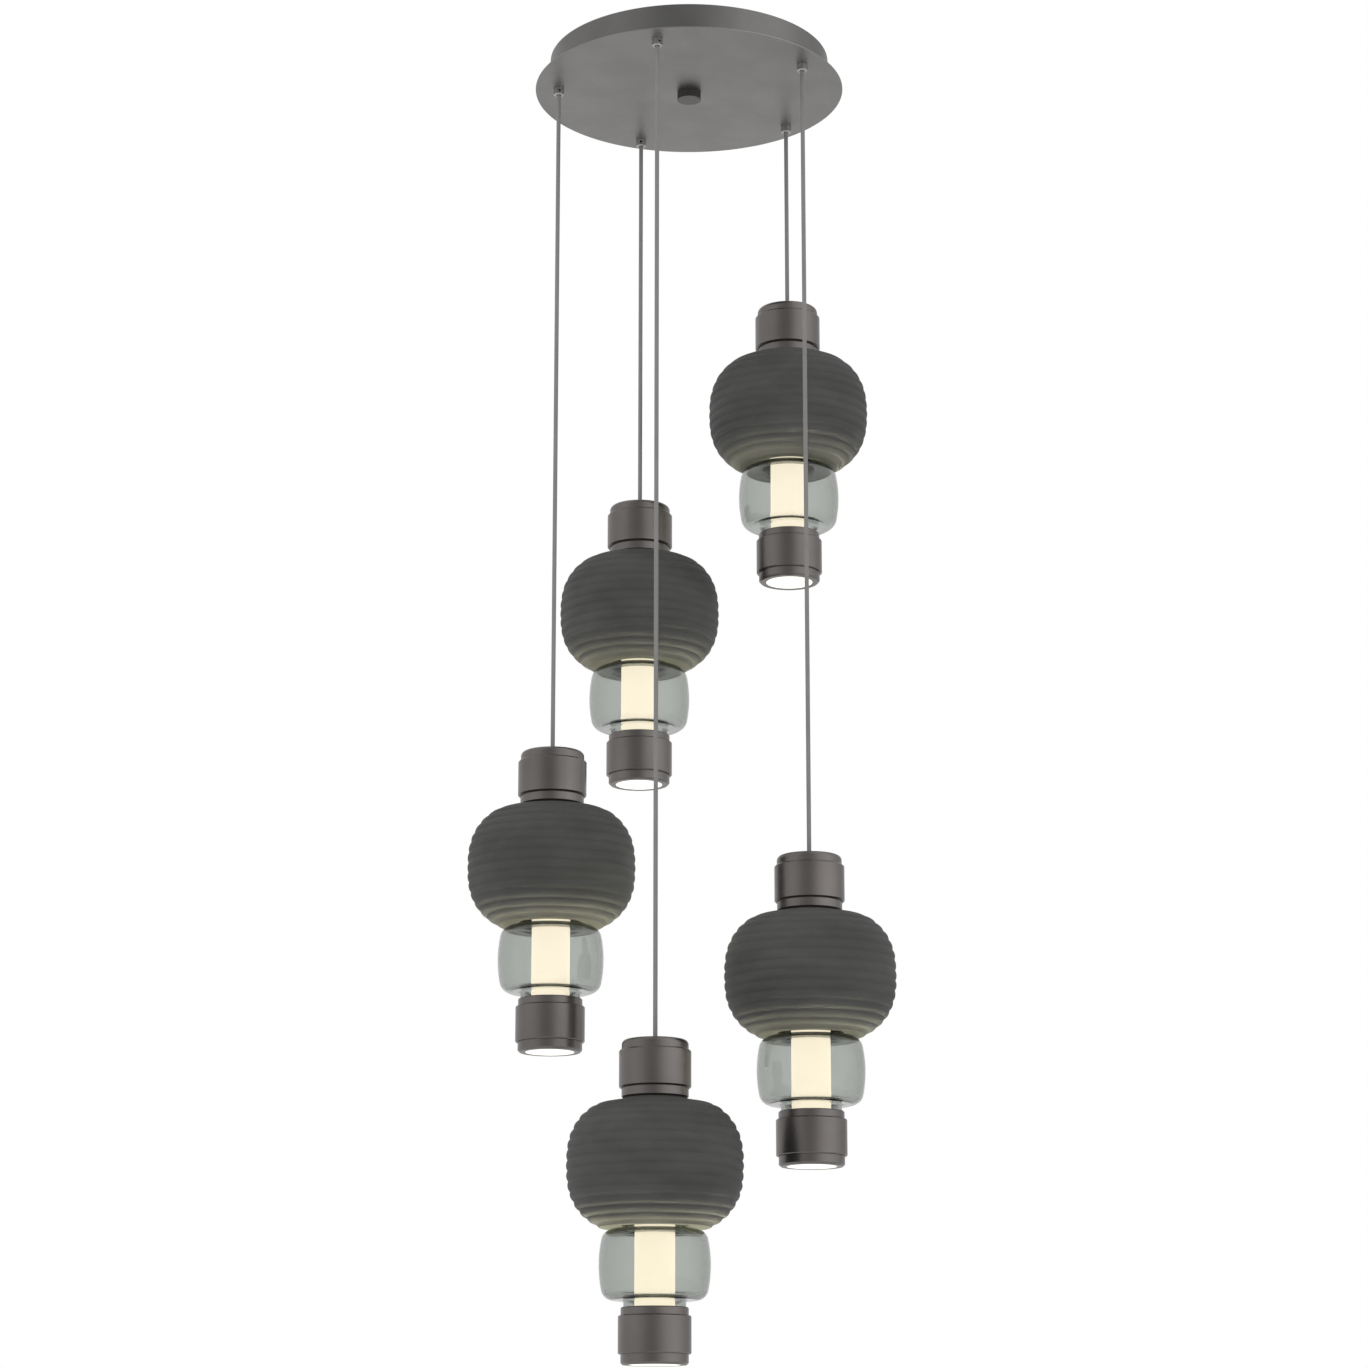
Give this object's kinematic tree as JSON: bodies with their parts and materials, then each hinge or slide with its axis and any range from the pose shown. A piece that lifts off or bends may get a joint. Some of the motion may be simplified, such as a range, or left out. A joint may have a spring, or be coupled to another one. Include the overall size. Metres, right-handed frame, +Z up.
{
  "type": "cluster pendant light",
  "caption": "Ceiling light: ribbed ceramic and smoked-glass pendants with glowing inner tubes hang on cords at staggered heights from a round metal canopy.",
  "frame": {"origin": "middle of the mounting bar's top face, on the ceiling", "axes": "+Z up towards the ceiling, -Y towards the viewer of the picture, +X to the viewer's right"},
  "size_m": [0.5284, 0.5368, 1.7037],
  "materials": {
    "canopy_metal": "satin dark pewter-grey lacquer",
    "pendant_metal": "satin dark gunmetal lacquer, turned",
    "grip_metal": "satin gunmetal",
    "nut_metal": "knurled side, satin face",
    "zinc_steel": "zinc-plated",
    "black_screws": "blackened",
    "driver_case": "moulded, fine grain",
    "cord_jacket": "smooth matte sheath",
    "core_aluminium": "turned",
    "ribbed_ceramic": "matte dark grey, thrown rings",
    "smoked_glass": "clear smoke grey, polished",
    "opal_glow": "opal, glowing",
    "lens_glow": "frosted, glowing"
  },
  "bodies": {
    "canopy": {"crossbar": "zinc_steel", "centre_stud": "zinc_steel", "pan": "canopy_metal", "cover_plate": "canopy_metal", "driver": "driver_case", "cord_grips": "grip_metal", "grip_locknuts": "zinc_steel", "set_screws": "black_screws", "inner_leads": "cord_jacket"},
    "nut": {"knurled_nut": "nut_metal"},
    "hanging_cord_a": {"cord_a": "cord_jacket"},
    "anchor_a": {"cord_anchor_a": "grip_metal"},
    "pendant_a": {"cap_a": "pendant_metal", "core_a": "core_aluminium", "core_nuts_a": "zinc_steel", "shade_a": "ribbed_ceramic", "glass_a": "smoked_glass", "light_tube_a": "opal_glow", "housing_a": "pendant_metal", "lens_a": "lens_glow"},
    "hanging_cord_b": {"cord_b": "cord_jacket"},
    "anchor_b": {"cord_anchor_b": "grip_metal"},
    "pendant_b": {"cap_b": "pendant_metal", "core_b": "core_aluminium", "core_nuts_b": "zinc_steel", "shade_b": "ribbed_ceramic", "glass_b": "smoked_glass", "light_tube_b": "opal_glow", "housing_b": "pendant_metal", "lens_b": "lens_glow"},
    "hanging_cord_c": {"cord_c": "cord_jacket"},
    "anchor_c": {"cord_anchor_c": "grip_metal"},
    "pendant_c": {"cap_c": "pendant_metal", "core_c": "core_aluminium", "core_nuts_c": "zinc_steel", "shade_c": "ribbed_ceramic", "glass_c": "smoked_glass", "light_tube_c": "opal_glow", "housing_c": "pendant_metal", "lens_c": "lens_glow"},
    "hanging_cord_d": {"cord_d": "cord_jacket"},
    "anchor_d": {"cord_anchor_d": "grip_metal"},
    "pendant_d": {"cap_d": "pendant_metal", "core_d": "core_aluminium", "core_nuts_d": "zinc_steel", "shade_d": "ribbed_ceramic", "glass_d": "smoked_glass", "light_tube_d": "opal_glow", "housing_d": "pendant_metal", "lens_d": "lens_glow"},
    "hanging_cord_e": {"cord_e": "cord_jacket"},
    "anchor_e": {"cord_anchor_e": "grip_metal"},
    "pendant_e": {"cap_e": "pendant_metal", "core_e": "core_aluminium", "core_nuts_e": "zinc_steel", "shade_e": "ribbed_ceramic", "glass_e": "smoked_glass", "light_tube_e": "opal_glow", "housing_e": "pendant_metal", "lens_e": "lens_glow"}
  },
  "joints": [
    {"name": "nut_turn", "type": "hinge", "parent": "canopy", "child": "nut", "pos_m": [0, 0, -0.0465], "axis": [0, 0, 1], "continuous": true},
    {"name": "cord_swing_a", "type": "hinge", "parent": "canopy", "child": "hanging_cord_a", "pos_m": [-0.17201, -0.01293, -0.0488], "axis": [1, 0, 0], "range_deg": [-8, 8]},
    {"name": "pendant_rock_a", "type": "hinge", "parent": "hanging_cord_a", "child": "anchor_a", "pos_m": [-0.17201, -0.01293, -0.9404], "axis": [0, 1, 0], "range_deg": [-6, 6]},
    {"name": "pendant_twist_a", "type": "hinge", "parent": "anchor_a", "child": "pendant_a", "pos_m": [-0.17201, -0.01293, -0.9418], "axis": [0, 0, 1], "range_deg": [-90, 90]},
    {"name": "cord_swing_b", "type": "hinge", "parent": "canopy", "child": "hanging_cord_b", "pos_m": [0.14677, -0.09064, -0.0488], "axis": [1, 0, 0], "range_deg": [-8, 8]},
    {"name": "pendant_rock_b", "type": "hinge", "parent": "hanging_cord_b", "child": "anchor_b", "pos_m": [0.14677, -0.09064, -1.0884], "axis": [0, 1, 0], "range_deg": [-6, 6]},
    {"name": "pendant_twist_b", "type": "hinge", "parent": "anchor_b", "child": "pendant_b", "pos_m": [0.14677, -0.09064, -1.0898], "axis": [0, 0, 1], "range_deg": [-90, 90]},
    {"name": "cord_swing_c", "type": "hinge", "parent": "canopy", "child": "hanging_cord_c", "pos_m": [-0.04086, -0.16759, -0.0488], "axis": [1, 0, 0], "range_deg": [-8, 8]},
    {"name": "pendant_rock_c", "type": "hinge", "parent": "hanging_cord_c", "child": "anchor_c", "pos_m": [-0.04086, -0.16759, -1.3254], "axis": [0, 1, 0], "range_deg": [-6, 6]},
    {"name": "pendant_twist_c", "type": "hinge", "parent": "anchor_c", "child": "pendant_c", "pos_m": [-0.04086, -0.16759, -1.3268], "axis": [0, 0, 1], "range_deg": [-90, 90]},
    {"name": "cord_swing_d", "type": "hinge", "parent": "canopy", "child": "hanging_cord_d", "pos_m": [-0.06546, 0.1596, -0.0488], "axis": [1, 0, 0], "range_deg": [-8, 8]},
    {"name": "pendant_rock_d", "type": "hinge", "parent": "hanging_cord_d", "child": "anchor_d", "pos_m": [-0.06546, 0.1596, -0.5664], "axis": [0, 1, 0], "range_deg": [-6, 6]},
    {"name": "pendant_twist_d", "type": "hinge", "parent": "anchor_d", "child": "pendant_d", "pos_m": [-0.06546, 0.1596, -0.5678], "axis": [0, 0, 1], "range_deg": [-90, 90]},
    {"name": "cord_swing_e", "type": "hinge", "parent": "canopy", "child": "hanging_cord_e", "pos_m": [0.13156, 0.11157, -0.0488], "axis": [1, 0, 0], "range_deg": [-8, 8]},
    {"name": "pendant_rock_e", "type": "hinge", "parent": "hanging_cord_e", "child": "anchor_e", "pos_m": [0.13156, 0.11157, -0.3054], "axis": [0, 1, 0], "range_deg": [-6, 6]},
    {"name": "pendant_twist_e", "type": "hinge", "parent": "anchor_e", "child": "pendant_e", "pos_m": [0.13156, 0.11157, -0.3068], "axis": [0, 0, 1], "range_deg": [-90, 90]}
  ]
}
